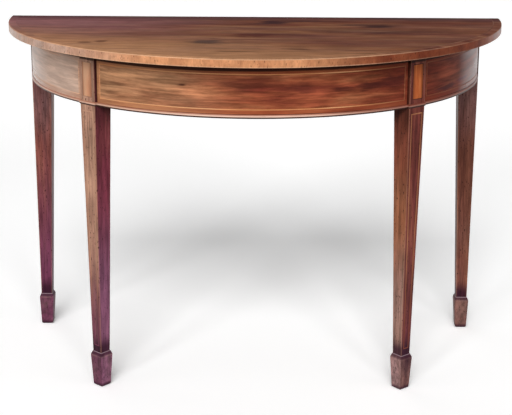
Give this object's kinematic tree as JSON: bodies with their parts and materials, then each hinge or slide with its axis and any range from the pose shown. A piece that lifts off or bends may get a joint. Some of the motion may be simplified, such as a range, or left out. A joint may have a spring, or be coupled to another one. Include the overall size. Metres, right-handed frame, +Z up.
{
  "type": "demilune side table",
  "caption": "Half-round side table with a crossbanded top, a curved line-inlaid frieze and tapering square legs on spade feet.",
  "frame": {"origin": "on the floor, under the middle of the table's outline", "axes": "+X to the right as seen from the curved front, +Y towards the straight back edge, +Z up"},
  "size_m": [1.11, 0.5549, 0.74],
  "materials": {
    "field_veneer": "waxed, figured mahogany",
    "crossband": "waxed, cross-grained mahogany",
    "top_ground": "plain mahogany",
    "boxwood_line": "waxed boxwood",
    "frieze_veneer": "waxed, figured mahogany",
    "frieze_ground": "bare pine, darkened with age",
    "leg_wood": "waxed mahogany",
    "foot_wood": "waxed mahogany",
    "bead_wood": "waxed mahogany",
    "panel_wood": "waxed satinwood",
    "dark_line": "ebonised line",
    "frame_wood": "bare pine, darkened with age",
    "screw_iron": "dark iron"
  },
  "bodies": {
    "root": {"top_veneer": "field_veneer", "top_crossband": "crossband", "top_edge_band": "crossband", "top_front_board": "top_ground", "top_middle_board": "top_ground", "top_back_board": "top_ground", "top_stringing": "boxwood_line", "front_frieze_stringing": "boxwood_line", "left_frieze_stringing": "boxwood_line", "right_frieze_stringing": "boxwood_line", "front_left_leg_stringing": "boxwood_line", "front_right_leg_stringing": "boxwood_line", "front_frieze_veneer": "frieze_veneer", "left_frieze_veneer": "frieze_veneer", "right_frieze_veneer": "frieze_veneer", "frieze_course_1": "frieze_ground", "frieze_course_2": "frieze_ground", "frieze_course_3": "frieze_ground", "frieze_course_4": "frieze_ground", "front_left_leg": "leg_wood", "front_right_leg": "leg_wood", "back_left_leg": "leg_wood", "back_right_leg": "leg_wood", "front_left_foot": "foot_wood", "front_right_foot": "foot_wood", "back_left_foot": "foot_wood", "back_right_foot": "foot_wood", "front_bead": "bead_wood", "left_bead": "bead_wood", "right_bead": "bead_wood", "front_left_stile_bead": "bead_wood", "front_right_stile_bead": "bead_wood", "back_left_stile_bead": "bead_wood", "back_right_stile_bead": "bead_wood", "front_left_stile_panel": "panel_wood", "front_right_stile_panel": "panel_wood", "front_left_stile_stringing": "dark_line", "front_right_stile_stringing": "dark_line", "back_rail": "frame_wood", "cross_brace": "frame_wood", "glue_blocks": "frame_wood", "top_screws": "screw_iron"}
  },
  "joints": []
}
